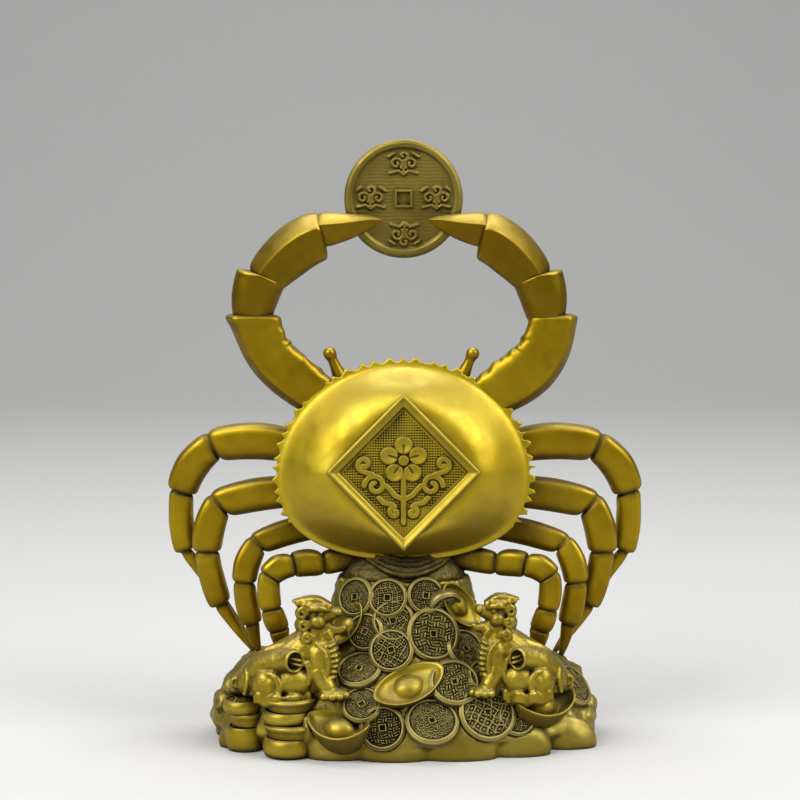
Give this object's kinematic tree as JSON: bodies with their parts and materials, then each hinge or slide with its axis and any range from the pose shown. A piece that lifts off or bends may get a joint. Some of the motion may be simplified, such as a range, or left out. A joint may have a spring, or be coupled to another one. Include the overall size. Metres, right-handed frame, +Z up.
{
  "type": "crab figurine",
  "caption": "Upright brass crab ornament holding a square-holed coin in raised claws, standing on a mound of coins, boat ingots and seated beasts.",
  "frame": {"origin": "on the table under the middle of the object's outline", "axes": "+X to the right of a viewer facing the shell's back, +Y away from that viewer, +Z up"},
  "size_m": [0.1596, 0.0849, 0.2],
  "materials": {
    "polished_brass": "polished, lightly tarnished",
    "satin_brass": "satin, worn bright on edges",
    "aged_brass": "aged, dark in hollows",
    "dark_brass": "aged, bright raised relief",
    "steel": "zinc plated"
  },
  "bodies": {
    "root": {"abdomen_flap": "satin_brass", "back_ingot": "aged_brass", "base_mound": "aged_brass", "carapace": "polished_brass", "coin_back_low": "aged_brass", "coin_back_middle": "aged_brass", "coin_back_right": "aged_brass", "coin_back_top": "aged_brass", "coin_front_flat": "aged_brass", "coin_front_low": "aged_brass", "coin_front_right": "aged_brass", "coin_middle": "aged_brass", "coin_middle_left": "aged_brass", "coin_middle_right": "aged_brass", "coin_side_right": "aged_brass", "coin_stack_large": "aged_brass", "coin_stack_small": "aged_brass", "coin_top_left": "aged_brass", "coin_top_middle": "aged_brass", "coin_top_right": "aged_brass", "coin_upper_middle": "aged_brass", "front_ingot": "aged_brass", "left_beast": "satin_brass", "left_claw_arm": "satin_brass", "left_claw_finger": "satin_brass", "left_claw_palm": "satin_brass", "left_claw_wrist": "satin_brass", "left_eye": "satin_brass", "left_ingot": "aged_brass", "left_leg_1": "satin_brass", "left_leg_2": "satin_brass", "left_leg_3": "satin_brass", "left_leg_4": "satin_brass", "neck_screw": "steel", "neck_washer": "steel", "plaque_frame": "polished_brass", "plaque_panel": "dark_brass", "right_beast": "satin_brass", "right_claw_arm": "satin_brass", "right_claw_finger": "satin_brass", "right_claw_palm": "satin_brass", "right_claw_wrist": "satin_brass", "right_eye": "satin_brass", "right_ingot": "aged_brass", "right_leg_1": "satin_brass", "right_leg_2": "satin_brass", "right_leg_3": "satin_brass", "right_leg_4": "satin_brass", "tail_collar": "aged_brass", "top_coin": "dark_brass", "under_shell": "satin_brass", "upper_left_ingot": "aged_brass", "upper_right_ingot": "aged_brass"}
  },
  "joints": []
}
